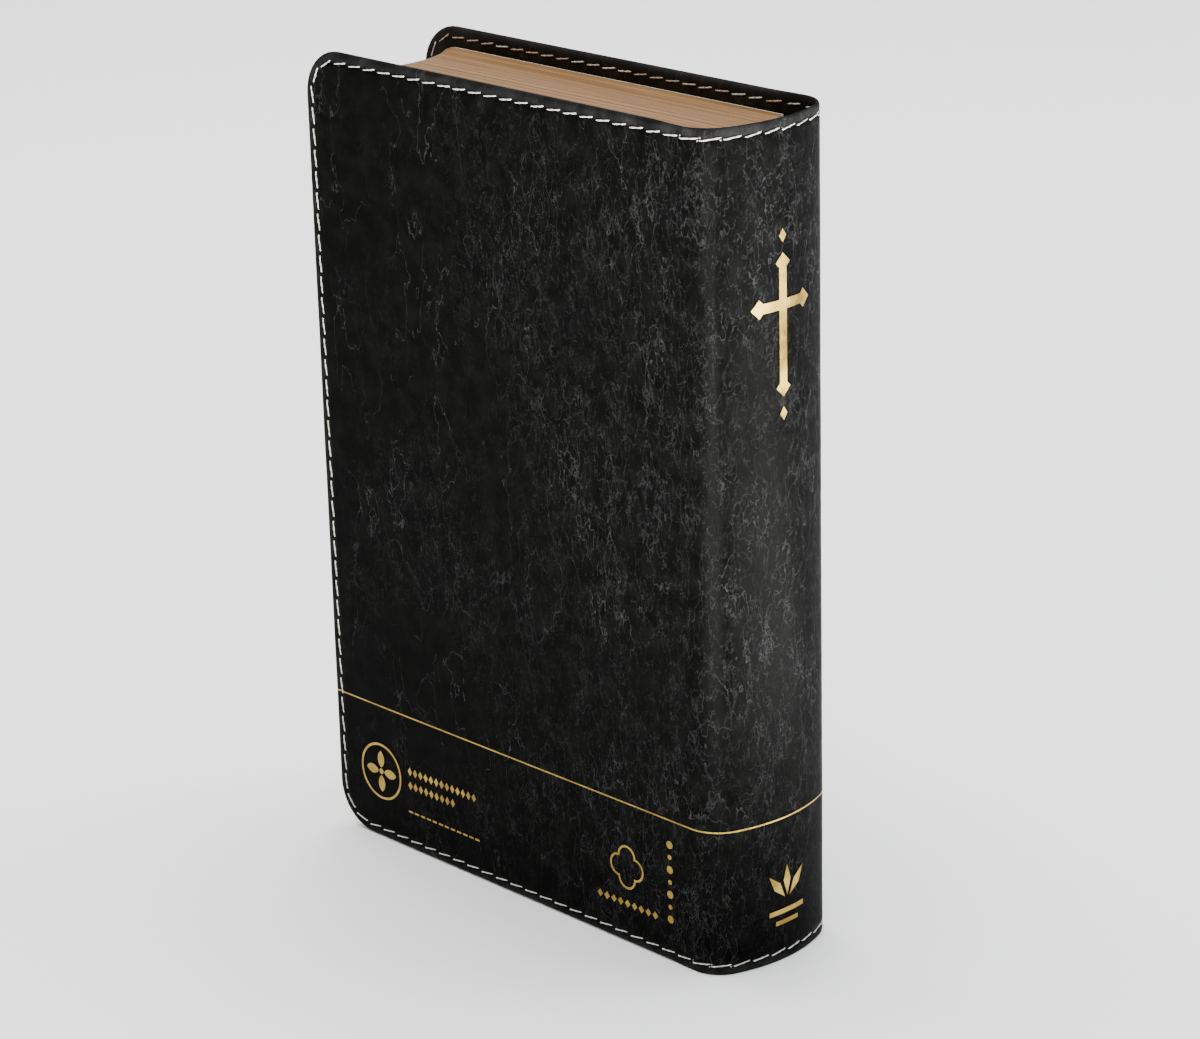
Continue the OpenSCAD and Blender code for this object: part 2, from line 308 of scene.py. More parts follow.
def vein_group():
    """Long fibrous veins with gaps in them: Lines is 1 along them and 0 between."""
    group = new_group(
        "vein_lines",
        "ShaderNodeTree",
        {"Vector": "NodeSocketVector", "Scale": 8.0, "Width": 0.01, "Gaps": 0.5},
        {"Lines": "NodeSocketFloat"},
    )
    given = add_node(group, "NodeGroupInput").outputs
    level = speckle(group, given["Vector"], given["Scale"], 5.0)
    off_level = maths(group, "ABSOLUTE", maths(group, "SUBTRACT", level, 0.5))
    line = ramp(group, off_level, given["Width"], 0.0)
    breaks = speckle(group, given["Vector"], maths(group, "MULTIPLY", given["Scale"], 0.7), 4.0)
    shown = ramp(
        group, breaks, maths(group, "SUBTRACT", given["Gaps"], 0.04),
        maths(group, "ADD", given["Gaps"], 0.1),
    )
    result = add_node(group, "NodeGroupOutput")
    group.links.new(maths(group, "MULTIPLY", line, shown), result.inputs["Lines"])
    return group


vein_lines = vein_group()


def veined(tree, vector, scale, width, gaps, shift):
    """The Lines output of the vein group, on a vector moved by shift."""
    moved = vector_maths(tree, "ADD", vector, (shift, shift, shift))
    made = tree.nodes.new("ShaderNodeGroup")
    made.node_tree = vein_lines
    tree.links.new(moved, made.inputs["Vector"])
    for name, value in (("Scale", scale), ("Width", width), ("Gaps", gaps)):
        made.inputs[name].default_value = value
    return made.outputs["Lines"]


def leather_material():
    """Waxed black calf: its creases show paler, and its rolled edges are paler, partly worn and
    partly a painted highlight.
    """
    material, tree, shader = new_material("waxed_black_leather", 0.42, specular=0.009)
    skin = add_node(tree, "ShaderNodeUVMap", uv_map="unrolled").outputs["UV"]
    grain = stretched(tree, skin, (1, 0.45, 1))
    left = stretched(tree, skin, (1, 0.4, 1), -0.5)
    right = stretched(tree, skin, (1, 0.4, 1), 0.45)
    patch = ramp(tree, speckle(tree, skin, 2.6), 0.4, 0.7)
    across = add_node(tree, "ShaderNodeSeparateXYZ", {0: skin}).outputs["X"]
    near_spine = ramp(tree, maths(tree, "ABSOLUTE", across), 1.1, 0.15)
    dense = maths(
        tree, "ADD", maths(tree, "MULTIPLY", patch, 0.45), maths(tree, "MULTIPLY", near_spine, 0.45)
    )
    long = strongest(
        tree, veined(tree, grain, 7, 0.0025, 0.5, 0.0), veined(tree, right, 13, 0.004, 0.5, 4.0)
    )
    short = strongest(
        tree, veined(tree, left, 24, 0.007, 0.46, 9.0), veined(tree, right, 34, 0.009, 0.46, 2.0)
    )
    wide = creased(tree, grain, 24, 0.014, 0.12, 0.52)
    fine = maths(tree, "MULTIPLY", creased(tree, grain, 58, 0.04, 0.06, 0.48), 0.7)
    web = maths(tree, "MULTIPLY", strongest(tree, short, wide, fine), dense)
    lines = strongest(tree, maths(tree, "MULTIPLY", long, 0.45), maths(tree, "MULTIPLY", web, 0.5))
    mottle = speckle(tree, skin, 22, 6.0)
    cloudy = ramp(tree, mottle, 0.35, 0.75)
    # Painted highlight: the rolled edge is painted paler, partly worn leather and partly standing in
    # for light on the roll.
    edge = add_node(tree, "ShaderNodeAttribute", attribute_name="worn_edge_highlight").outputs["Fac"]
    inside = add_node(tree, "ShaderNodeAttribute", attribute_name="turned_in").outputs["Fac"]
    ground = mix_colour(tree, cloudy, (0.0012, 0.0012, 0.0011, 1), (0.0028, 0.0028, 0.0026, 1))
    turned = mix_colour(tree, cloudy, (0.009, 0.0065, 0.004, 1), (0.017, 0.012, 0.0075, 1))
    body = mix_colour(tree, inside, ground, turned)
    # Mixes a paler grey in at the rolled edge: worn leather and a painted highlight together.
    worn_lit_share = maths(tree, "MULTIPLY", edge, maths(tree, "MULTIPLY_ADD", cloudy, 0.7, 0.3))
    worn_and_lit = mix_colour(tree, worn_lit_share, body, (0.013, 0.0135, 0.013, 1))
    pale = maths(tree, "MULTIPLY", lines, 0.9)
    colour = mix_colour(tree, pale, worn_and_lit, (0.05, 0.051, 0.05, 1))
    tree.links.new(colour, shader.inputs["Base Color"])
    tree.links.new(maths(tree, "MULTIPLY_ADD", cloudy, 0.14, 0.34), shader.inputs["Roughness"])
    pores = maths(tree, "MULTIPLY", speckle(tree, skin, 260, 2.0), 0.5)
    swell = maths(tree, "MULTIPLY_ADD", mottle, 1.5, pores)
    add_bump(tree, shader, maths(tree, "SUBTRACT", swell, lines), 0.05 * MM, 0.5)
    return material


leather = leather_material()

# Sizes of the case, in plan and through its thickness
hinge_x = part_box("back_cover_leather")[1].x
board_end_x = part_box("back_board")[1].x
corner_r = 9.5 * MM
spine_r = 32 * MM
shoulder_r = 7.5 * MM
cover_t = 2.0 * MM
joint_t = 0.95 * MM
leather_t = 0.8 * MM
turn_in_t = 0.4 * MM
turn_in_w = 14 * MM
fold_inset = 1.3 * MM
skin_depth = 0.06 * MM
roll_r = 1.0 * MM
roll_steps = 6
# Width of the paler edge band, part wear and part painted highlight.
worn_highlight_w = 1.7 * MM
stitch_inset = 2.0 * MM
usual_pitch = 4.32 * MM
groove_depth = 0.24 * MM
groove_w = 0.42 * MM
inner_groove_share = 0.6
thread_rise = 0.12 * MM
unrolled_scale = 10

# The face runs flat to the shoulder, then round the shoulder and the spine
spine_cx = half_w - spine_r
shoulder_y = half_t - shoulder_r
shoulder_x = spine_cx + math.sqrt((spine_r - shoulder_r) ** 2 - shoulder_y**2)
shoulder_end = math.atan2(shoulder_y, shoulder_x - spine_cx)
flat_len = half_w + shoulder_x
shoulder_len = shoulder_r * (math.pi / 2 - shoulder_end)
case_len = flat_len + shoulder_len + spine_r * shoulder_end
board_len = half_w + board_end_x

# The line of the stitching on half the case, and its whole number of stitches
bend_r = corner_r - stitch_inset
run_len = case_len - corner_r
bend_len = math.pi / 2 * bend_r
side_len = book_h - 2 * corner_r
seam_len = 2 * (run_len + bend_len) + side_len
stitch_count = round(seam_len / usual_pitch)
stitch_pitch = seam_len / stitch_count


def smooth(t):
    """0 up to t = 0, 1 from t = 1, and a smooth step between."""
    t = min(max(t, 0), 1)
    return t * t * (3 - 2 * t)


def case_place(s, z, depth, side):
    """The point at depth below the face, s along it from the fore-edge to mid-spine."""
    if s < flat_len:
        return Vector((s - half_w, side * (half_t - depth), z))
    if s < flat_len + shoulder_len:
        turn = math.pi / 2 - (s - flat_len) / shoulder_r
        x = shoulder_x + (shoulder_r - depth) * math.cos(turn)
        return Vector((x, side * (shoulder_y + (shoulder_r - depth) * math.sin(turn)), z))
    turn = (case_len - s) / spine_r
    x = spine_cx + (spine_r - depth) * math.cos(turn)
    return Vector((x, side * (spine_r - depth) * math.sin(turn), z))


def edge_thickness(s):
    """Thickness of the turned edge: full over the boards, less over joint and spine."""
    past_board = (s - board_len) / (half_w + hinge_x - board_len)
    return cover_t + (joint_t - cover_t) * smooth(past_board)


def groove(inset):
    """Depth of the channel that the stitches pull into the leather."""
    return groove_depth * math.exp(-(((inset - stitch_inset) / groove_w) ** 2))


def sag(s, z):
    """Slight unevenness of the hand-glued leather, always inwards."""
    return 0.05 * MM * (1 + noise.noise(Vector((s, z, 0)) / (19 * MM)))


def pucker(along, inset):
    """The rolled edge dips where each stitch goes down into its hole."""
    wave = (1 + math.cos(math.tau * along / stitch_pitch)) / 2
    return 0.07 * MM * wave * math.exp(-(((inset - 1.1 * MM) / (0.7 * MM)) ** 2))


# Rings from the outer face, round the rolled edge and over the turn-in to the
# leather's inner face: inset, share of the edge's thickness, and added depth
case_rings = [
    (inset * MM, 0, skin_depth + groove(inset * MM))
    for inset in (8.5, 6, 4.4, 3.4, 2.9, 2.55, 2.25, 2.0, 1.75, 1.4, 1.1)
]
for step in range(roll_steps, -roll_steps - 1, -1):
    turn = math.radians(80 * step / roll_steps)
    case_rings.append(
        (roll_r * (1 - math.cos(turn)), (1 - math.sin(turn)) / 2, skin_depth * math.sin(turn))
    )
case_rings += [
    (inset * MM, 1, -skin_depth - inner_groove_share * groove(inset * MM))
    for inset in (1.1, 1.4, 1.75, 2.0, 2.25, 2.55, 3.4, 6, 10, 13.6)
]
case_rings += [
    (turn_in_w, 1, -0.15 * MM),
    (turn_in_w, 1, -turn_in_t),
    (fold_inset, 1, -turn_in_t),
    (fold_inset, 0, leather_t),
    (8.5 * MM, 0, leather_t),
]


def steps_between(start, end, step):
    """Evenly spaced values from start up to, and without, end."""
    count = max(1, round((end - start) / step))
    return [start + (end - start) * i / count for i in range(count)]


columns = steps_between(corner_r, board_len - 2 * MM, 1.44 * MM)
columns += steps_between(board_len - 2 * MM, flat_len, 0.5 * MM)
columns += steps_between(flat_len, flat_len + shoulder_len, 0.6 * MM)
columns += steps_between(flat_len + shoulder_len, case_len - 0.2 * MM, 1.2 * MM)
columns += [case_len - 0.2 * MM, case_len]
rows = steps_between(corner_r, book_h - corner_r, 1.44 * MM)
corner_steps = 10
corner_mid = len(columns) - 1 + corner_steps // 2


def ring_points(inset):
    """(s, z) from mid-spine at the tail, round the fore-edge, to mid-spine at the head."""
    r = max(corner_r - inset, 0.8 * MM)
    centre = inset + r
    spread = (board_len - centre) / (board_len - corner_r)
    points = []
    for s in reversed(columns[1:]):
        points.append((s if s > board_len else centre + (s - corner_r) * spread, inset))
    for i in range(corner_steps + 1):
        turn = math.pi / 2 * i / corner_steps
        points.append((centre - r * math.sin(turn), centre - r * math.cos(turn)))
    lower = list(points)
    for z in rows[1:]:
        share = (z - corner_r) / side_len
        points.append((inset, centre + share * (book_h - 2 * centre)))
    return points + [(s, book_h - z) for s, z in reversed(lower)]


def fill_points(ring):
    """Rows of (s, z) inside a ring, from tail to head, without the ring's own points."""
    tail = ring[corner_mid::-1]
    head = ring[-corner_mid - 1 :]
    left = ring[corner_mid : len(ring) - corner_mid]
    grid = []
    for i in range(1, len(left) - 1):
        v = i / (len(left) - 1)
        row = []
        for j in range(1, corner_mid + 1):
            lean = (left[i][0] - tail[0][0]) * (1 - j / corner_mid)
            rise = (1 - v) * (tail[j][1] - tail[0][1]) + v * (head[j][1] - head[0][1])
            row.append((tail[j][0] + lean, left[i][1] + rise))
        grid.append(row)
    return grid


def lengths_along(points):
    """The distance of each point from the first, along the line."""
    lengths = [0]
    for a, b in zip(points, points[1:]):
        lengths.append(lengths[-1] + math.dist(a, b))
    return lengths


def finished(name, bm, materials, smooth_angle=40):
    """A mesh object from bm, smooth but for the edges sharper than smooth_angle."""
    mesh = bpy.data.meshes.new(name)
    bm.to_mesh(mesh)
    bm.free()
    for material in materials:
        mesh.materials.append(material)
    mesh.shade_smooth()
    mesh.set_sharp_from_angle(angle=math.radians(smooth_angle))
    made = bpy.data.objects.new(name, mesh)
    scene_objects.link(made)
    return made


def case_half(name, side):
    """Half the skin as one closed mesh, from mid-spine round one cover."""
    bm = bmesh.new()
    unrolled = bm.loops.layers.uv.new("unrolled")
    worn_and_lit = bm.verts.layers.float.new("worn_edge_highlight")
    turned = bm.verts.layers.float.new("turned_in")
    places = {}

    def add_point(s, z, inset, share, added, along):
        depth = share * edge_thickness(s) + added + (1 - share) * sag(s, z)
        depth += (1 - 2 * share) * pucker(along, inset)
        vertex = bm.verts.new(case_place(s, z, depth, side))
        # Mask of the paler rolled edge: worn leather plus a painted highlight.
        vertex[worn_and_lit] = math.exp(-((inset / worn_highlight_w) ** 4))
        vertex[turned] = smooth(2 * share - 1)
        places[vertex] = (side * (case_len - s) * unrolled_scale, z * unrolled_scale)
        return vertex

    along = lengths_along(ring_points(stitch_inset))
    rings = [
        [add_point(s, z, inset, share, added, d) for (s, z), d in zip(ring_points(inset), along)]
        for inset, share, added in case_rings
    ]
    grids = [rings]
    for ring, (inset, share, added) in ((rings[0], case_rings[0]), (rings[-1], case_rings[-1])):
        grid = [ring[corner_mid::-1]]
        for i, row in enumerate(fill_points(ring_points(inset))):
            inner = [add_point(s, z, inset, share, added, 0) for s, z in row]
            grid.append([ring[corner_mid + 1 + i]] + inner)
        grids.append(grid + [ring[-corner_mid - 1 :]])
    for grid in grids:
        for a, b in zip(grid, grid[1:]):
            for i in range(len(a) - 1):
                bm.faces.new((a[i], a[i + 1], b[i + 1], b[i]))
    outer_end = [row[-1] for row in grids[1][1:-1]]
    inner_end = [row[-1] for row in grids[2][1:-1]]
    tail_end = [ring[0] for ring in rings]
    head_end = [ring[-1] for ring in rings]
    bm.faces.new(tail_end + inner_end + head_end[::-1] + outer_end[::-1])
    bmesh.ops.recalc_face_normals(bm, faces=bm.faces)
    for face in bm.faces:
        for loop in face.loops:
            loop[unrolled].uv = places[loop.vert]
    return finished(name, bm, [leather])


def bend_with_cover(piece):
    """Bakes the piece's placement into its mesh; the joint is not bent here."""
    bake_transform(piece)


front_half = case_half("front_case_skin", 1)
bend_with_cover(front_half)
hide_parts("spine_leather", "front_cover_leather")

back_half = case_half("back_case_skin", -1)
bend_with_cover(back_half)
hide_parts("spine_leather", "back_cover_leather")

# ---- Stitching
# Thick waxed linen thread runs all round the case, close to its edge. Each long
# stitch dips into its holes, on the face and again on the turned-in side.


def thread_material():
    """Off-white twisted linen, with a few stitches stained tan by the wax."""
    material, tree, shader = new_material("waxed_linen_thread", 0.65, specular=0.3)
    place = add_node(tree, "ShaderNodeAttribute", attribute_name="thread_place").outputs["Vector"]
    tone = add_node(tree, "ShaderNodeAttribute", attribute_name="stitch_tone").outputs["Fac"]
    parts = add_node(tree, "ShaderNodeSeparateXYZ", {0: place}).outputs
    stain = ramp(tree, tone, 0.8, 1.3)
    clean = mix_colour(tree, stain, (0.54, 0.52, 0.47, 1), (0.36, 0.26, 0.16, 1))
    shade = ramp(tree, speckle(tree, place, 2.5, 4.0), 0.25, 0.55)
    colour = mix_colour(tree, shade, (0.25, 0.21, 0.17, 1), clean)
    tree.links.new(colour, shader.inputs["Base Color"])
    turns = maths(tree, "MULTIPLY_ADD", parts["X"], 6.0, maths(tree, "MULTIPLY", parts["Y"], 9.0))
    add_bump(tree, shader, maths(tree, "SINE", turns), 0.05 * MM, 0.7)
    return material


thread = thread_material()


def stood_on_points(tree, given, piece, slant):
    """Copies piece to each point, its X along the line and its Z facing out."""
    along = add_node(
        tree, "GeometryNodeInputNamedAttribute", {"Name": "along"}, data_type="FLOAT_VECTOR"
    )
    out = add_node(
        tree, "GeometryNodeInputNamedAttribute", {"Name": "out"}, data_type="FLOAT_VECTOR"
    )
    laid = add_node(
        tree, "FunctionNodeAlignRotationToVector", {"Vector": along.outputs[0]}, axis="X"
    )
    faced = add_node(
        tree, "FunctionNodeAlignRotationToVector",
        {"Rotation": laid.outputs[0], "Vector": out.outputs[0]}, axis="Z", pivot_axis="X",
    )
    lean = add_node(
        tree, "FunctionNodeAxisAngleToRotation", {"Axis": (0, 0, 1), "Angle": slant}
    )
    turned = add_node(
        tree, "FunctionNodeRotateRotation",
        {"Rotation": faced.outputs[0], "Rotate By": lean.outputs[0]}, rotation_space="LOCAL",
    )
    placed = add_node(
        tree, "GeometryNodeInstanceOnPoints",
        {"Points": given["Geometry"], "Instance": piece, "Rotation": turned.outputs[0]},
    )
    return placed.outputs[0]


def random_between(tree, low, high, seed):
    """A seeded random value for each point or copy."""
    made = add_node(tree, "FunctionNodeRandomValue", {2: low, 3: high, 8: seed}, data_type="FLOAT")
    return made.outputs[1]


def stored(tree, geometry, name, value, kind, domain):
    """Keeps a value on the geometry under a name."""
    made = add_node(
        tree, "GeometryNodeStoreNamedAttribute", {"Geometry": geometry, "Name": name},
        data_type=kind, domain=domain,
    )
    tree.links.new(value, next(s for s in made.inputs if s.name == "Value" and s.enabled))
    return made.outputs[0]


def finish_tree(tree, geometry, material):
    """Ends a tree with real geometry and its material."""
    real = add_node(tree, "GeometryNodeRealizeInstances", {0: geometry}).outputs[0]
    painted = add_node(tree, "GeometryNodeSetMaterial", {0: real, "Material": material})
    result = add_node(tree, "NodeGroupOutput")
    tree.links.new(painted.outputs[0], result.inputs["Geometry"])


def stitch_tree():
    """Stands one slightly twisted stitch on each point of a seam."""
    tree = new_group(
        "row_of_stitches",
        "GeometryNodeTree",
        {
            "Geometry": "NodeSocketGeometry", "Length": 3.5 * MM, "Thickness": 0.5 * MM,
            "Dip": 0.45 * MM, "Slant": 0.1, "Twist": 7.0, "Clean Count": 100.0,
            "Thread": "NodeSocketMaterial",
        },
        {"Geometry": "NodeSocketGeometry"},
    )
    given = add_node(tree, "NodeGroupInput").outputs
    half = maths(tree, "MULTIPLY", given["Length"], 0.5)
    end = add_node(tree, "ShaderNodeCombineXYZ", {0: half}).outputs[0]
    start = vector_maths(tree, "SCALE", end, -1.0)
    line = add_node(tree, "GeometryNodeCurvePrimitiveLine", {"Start": start, "End": end})
    dots = add_node(tree, "GeometryNodeResampleCurve", {"Curve": line.outputs[0], "Count": 13})
    share = add_node(tree, "GeometryNodeSplineParameter").outputs["Factor"]
    off_middle = maths(tree, "ABSOLUTE", maths(tree, "MULTIPLY_ADD", share, 2.0, -1.0))
    drop = maths(tree, "POWER", off_middle, 9.0)
    fall = maths(tree, "MULTIPLY", maths(tree, "MULTIPLY", drop, given["Dip"]), -1.0)
    offset = add_node(tree, "ShaderNodeCombineXYZ", {2: fall}).outputs[0]
    bent = add_node(
        tree, "GeometryNodeSetPosition", {"Geometry": dots.outputs[0], "Offset": offset}
    )
    thinner = maths(tree, "MULTIPLY_ADD", drop, -0.45, 1.0)
    sized = add_node(tree, "GeometryNodeSetCurveRadius", {0: bent.outputs[0], "Radius": thinner})
    twisted = add_node(
        tree, "GeometryNodeSetCurveTilt",
        {0: sized.outputs[0], "Tilt": maths(tree, "MULTIPLY", share, given["Twist"])},
    )
    ring = add_node(
        tree, "GeometryNodeCurvePrimitiveCircle",
        {"Resolution": 6, "Radius": maths(tree, "MULTIPLY", given["Thickness"], 0.5)},
    )
    oval = add_node(
        tree, "GeometryNodeTransform", {"Geometry": ring.outputs[0], "Scale": (1, 0.68, 1)}
    )
    tube = add_node(
        tree, "GeometryNodeCurveToMesh",
        {"Curve": twisted.outputs[0], "Profile Curve": oval.outputs[0], "Fill Caps": True},
    )
    position = add_node(tree, "GeometryNodeInputPosition").outputs[0]
    in_mm = vector_maths(tree, "SCALE", position, 1 / MM)
    marked = stored(tree, tube.outputs[0], "thread_place", in_mm, "FLOAT_VECTOR", "POINT")
    slant = maths(tree, "ADD", given["Slant"], random_between(tree, -0.04, 0.04, 4))
    rows_of = stood_on_points(tree, given, marked, slant)
    index = add_node(tree, "GeometryNodeInputIndex").outputs[0]
    handled = maths(tree, "GREATER_THAN", index, given["Clean Count"])
    tone = maths(tree, "MULTIPLY_ADD", handled, 0.4, random_between(tree, 0.0, 1.0, 9))
    toned = stored(tree, rows_of, "stitch_tone", tone, "FLOAT", "INSTANCE")
    finish_tree(tree, toned, given["Thread"])
    return tree


stitches = stitch_tree()


def grown(name, points, tree, values):
    """Runs a geometry tree on (place, along, out) points and keeps the result as a mesh."""
    mesh = bpy.data.meshes.new(name + "_points")
    mesh.from_pydata([place for place, _, _ in points], [], [])
    for label, column in (("along", 1), ("out", 2)):
        layer = mesh.attributes.new(label, "FLOAT_VECTOR", "POINT")
        layer.data.foreach_set("vector", [n for point in points for n in point[column]])
    source = bpy.data.objects.new(name + "_source", mesh)
    scene_objects.link(source)
    modifier = source.modifiers.new("grow", "NODES")
    modifier.node_group = tree
    for item in tree.interface.items_tree:
        if item.name in values:
            modifier[item.identifier] = values[item.name]
    graph = bpy.context.evaluated_depsgraph_get()
    result = bpy.data.meshes.new_from_object(source.evaluated_get(graph))
    bpy.data.objects.remove(source)
    result.shade_smooth()
    for label in ("along", "out"):
        if label in result.attributes:
            result.attributes.remove(result.attributes[label])
    made = bpy.data.objects.new(name, result)
    scene_objects.link(made)
    return made


def seam_place(d):
    """(s, z, ds, dz): a place on the seam and its direction, d from mid-spine at the tail."""
    if d > seam_len / 2:
        s, z, ds, dz = seam_place(seam_len - d)
        return s, book_h - z, -ds, dz
    if d < run_len:
        return case_len - d, stitch_inset, -1, 0
    if d < run_len + bend_len:
        turn = (d - run_len) / bend_r
        s = corner_r - bend_r * math.sin(turn)
        return s, corner_r - bend_r * math.cos(turn), -math.cos(turn), math.sin(turn)
    return stitch_inset, corner_r + d - run_len - bend_len, 0, 1


def seam_points(side, inner):
    """A point for each stitch, on the face or on the turned-in side."""
    points = []
    for i in range(stitch_count):
        s, z, ds, dz = seam_place((i + 0.5) * stitch_pitch)
        depth = skin_depth + groove_depth - thread_rise + sag(s, z)
        if inner:
            dip = inner_groove_share * groove_depth
            depth = edge_thickness(s) - skin_depth - dip + thread_rise
        place = case_place(s, z, depth, side)
        out = (case_place(s, z, 0, side) - case_place(s, z, MM, side)).normalized()
        step = 0.1 * MM
        ahead = case_place(s + ds * step, z + dz * step, depth, side)
        points.append((place, (ahead - place).normalized(), -out if inner else out))
    return points


def seam(name, side):
    """Both rows of stitches on half the case, the inner row at the same places along the seam as the
    outer.
    """
    points = seam_points(side, False) + seam_points(side, True)
    values = {
        "Length": 3.8 * MM, "Thickness": 0.35 * MM, "Dip": 0.4 * MM,
        "Slant": 0.13, "Twist": 8.0, "Clean Count": float(stitch_count), "Thread": thread,
    }
    return grown(name, points, stitches, values)


front_seam = seam("front_case_stitching", 1)
bend_with_cover(front_seam)
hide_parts("front_stitching", "spine_stitching")

back_seam = seam("back_case_stitching", -1)
bend_with_cover(back_seam)
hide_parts("back_stitching", "spine_stitching")

# ---- Gold foil
# A gold line runs round the whole case, and small marks are stamped on the back
# cover and the spine, all in one pass with a hot brass die.


def foil_material():
    """Stamped gold: bright, finely grained by the leather, and worn off in specks."""
    material, tree, shader = new_material("stamped_gold_foil", 0.3, metallic=1.0)
    place = add_node(tree, "ShaderNodeTexCoord").outputs["Object"]
    worn = ramp(tree, speckle(tree, place, 2600, 3.0), 0.62, 0.7)
    cloudy = ramp(tree, speckle(tree, place, 240, 4.0), 0.3, 0.7)
    gold = mix_colour(tree, cloudy, (0.2, 0.125, 0.02, 1), (0.38, 0.255, 0.052, 1))
    colour = mix_colour(tree, worn, gold, (0.05, 0.035, 0.015, 1))
    tree.links.new(colour, shader.inputs["Base Color"])
    tree.links.new(maths(tree, "MULTIPLY_ADD", cloudy, 0.15, 0.27), shader.inputs["Roughness"])
    tree.links.new(maths(tree, "MULTIPLY_ADD", worn, -0.7, 1.0), shader.inputs["Metallic"])
    add_bump(tree, shader, speckle(tree, place, 1500, 2.0), 0.03 * MM, 0.5)
    return material


foil = foil_material()
rule_low, rule_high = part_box("back_gold_rule")
rule_z = (rule_low.z + rule_high.z) / 2
rule_half = (rule_high.z - rule_low.z) / 2


def face_depth(s, z):
    """Depth of the skin's outer face, away from the rounded corners."""
    rounded = 0
    if s < roll_r:
        rounded = (1 - math.sqrt(1 - (1 - s / roll_r) ** 2)) * cover_t / 2
    return skin_depth + groove(s) + sag(s, z) + rounded


def gold_line(name, side):
    """Half the gold line, a thin closed ribbon that hugs the skin."""
    stops = [0.25 * MM, 0.4 * MM, 0.6 * MM, 0.8 * MM, 1.0 * MM]
    stops += steps_between(1.2 * MM, 3.2 * MM, 0.2 * MM)
    stops += steps_between(3.2 * MM, corner_r, 0.8 * MM) + columns
    bm = bmesh.new()
    sections = []
    for s in stops:
        ragged = 0.07 * rule_half * noise.noise(Vector((s / (0.7 * MM), side, 3)))
        high, low = rule_z + rule_half + ragged, rule_z - rule_half + ragged
        depth = face_depth(s, rule_z)
        corners = ((low, -0.02), (high, -0.02), (high, 0.03), (low, 0.03))
        sections.append(
            [bm.verts.new(case_place(s, z, depth + rise * MM, side)) for z, rise in corners]
        )
    for a, b in zip(sections, sections[1:]):
        for i in range(4):
            bm.faces.new((a[i], a[i - 1], b[i - 1], b[i]))
    bm.faces.new(sections[0])
    bm.faces.new(sections[-1])
    bmesh.ops.recalc_face_normals(bm, faces=bm.faces)
    return finished(name, bm, [foil], 60)


front_rule = gold_line("front_case_gold_line", 1)
bend_with_cover(front_rule)
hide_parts("front_gold_rule", "spine_gold_rule")

back_rule = gold_line("back_case_gold_line", -1)
bend_with_cover(back_rule)
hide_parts("back_gold_rule", "spine_gold_rule")


def paint(material, *names):
    """Gives carried-over nodes their finish."""
    for name in names:
        slots = frame["nodes"][name].data.materials
        slots.clear()
        slots.append(material)


paint(
    foil, "spine_cross_ornament", "spine_foot_ornament", "back_round_ornament",
    "back_caption_rows", "back_quatrefoil", "back_bead_column",
)

# ---- Text block
# Sixteen sewn sections of thin paper, rounded at the spine and trimmed with
# round corners. The three trimmed edges are gilded in one go, then burnished.


def gilt_material():
    """Burnished old gold over page edges: fine streaks run along the leaves."""
    material, tree, shader = new_material("gilt_page_edges", 0.42, metallic=0.55)
    place = add_node(tree, "ShaderNodeTexCoord").outputs["Object"]
    leaves = stretched(tree, place, (9, 2600, 9))
    broad = stretched(tree, place, (22, 260, 22))
    streak = ramp(tree, speckle(tree, leaves, 1.0, 3.0), 0.3, 0.7)
    patch = ramp(tree, speckle(tree, broad, 1.0, 4.0), 0.35, 0.7)
    light = mix_colour(tree, streak, (0.17, 0.082, 0.026, 1), (0.34, 0.18, 0.065, 1))
    colour = mix_colour(tree, maths(tree, "MULTIPLY", patch, 0.6), light, (0.15, 0.08, 0.035, 1))
    tree.links.new(colour, shader.inputs["Base Color"])
    tree.links.new(maths(tree, "MULTIPLY_ADD", patch, 0.2, 0.36), shader.inputs["Roughness"])
    add_bump(tree, shader, speckle(tree, leaves, 1.0, 3.0), 0.05 * MM, 0.6)
    return material


def page_material():
    """Thin opaque paper, with two pale grey columns of unreadable rows."""
    material, tree, shader = new_material("thin_page_paper", 0.8, specular=0.2)
    place = add_node(tree, "ShaderNodeTexCoord").outputs["Object"]
    parts = add_node(tree, "ShaderNodeSeparateXYZ", {0: place}).outputs
    from_gutter = maths(tree, "ABSOLUTE", maths(tree, "SUBTRACT", parts["X"], gutter_x))
    column = maths(tree, "SUBTRACT", from_gutter, column_middle)
    in_column = ramp(tree, maths(tree, "ABSOLUTE", column), column_half_w + 0.2 * MM, column_half_w)
    from_middle = maths(tree, "ABSOLUTE", maths(tree, "SUBTRACT", parts["Z"], book_h / 2))
    in_page = ramp(tree, from_middle, rows_half_h + 0.2 * MM, rows_half_h)
    rows_up = maths(tree, "DIVIDE", parts["Z"], row_pitch)
    row_number = maths(tree, "FLOOR", rows_up)
    in_row = ramp(tree, maths(tree, "PINGPONG", rows_up, 0.5), 0.22, 0.3)
    spot = add_node(
        tree, "ShaderNodeCombineXYZ",
        {0: maths(tree, "MULTIPLY", parts["X"], 480.0), 1: maths(tree, "MULTIPLY", row_number, 7.3)},
    )
    words = ramp(tree, speckle(tree, spot.outputs[0], 1.0, 1.0), 0.36, 0.42)
    marks = maths(tree, "MULTIPLY", maths(tree, "MULTIPLY", in_column, in_page), in_row)
    ink = maths(tree, "MULTIPLY", maths(tree, "MULTIPLY", marks, words), 0.45)
    fibre = speckle(tree, place, 900, 4.0)
    paper = mix_colour(tree, fibre, (0.62, 0.57, 0.46, 1), (0.74, 0.69, 0.58, 1))
    colour = mix_colour(tree, ink, paper, (0.12, 0.11, 0.1, 1))
    tree.links.new(colour, shader.inputs["Base Color"])
    add_bump(tree, shader, fibre, 0.03 * MM, 0.4)
    return material


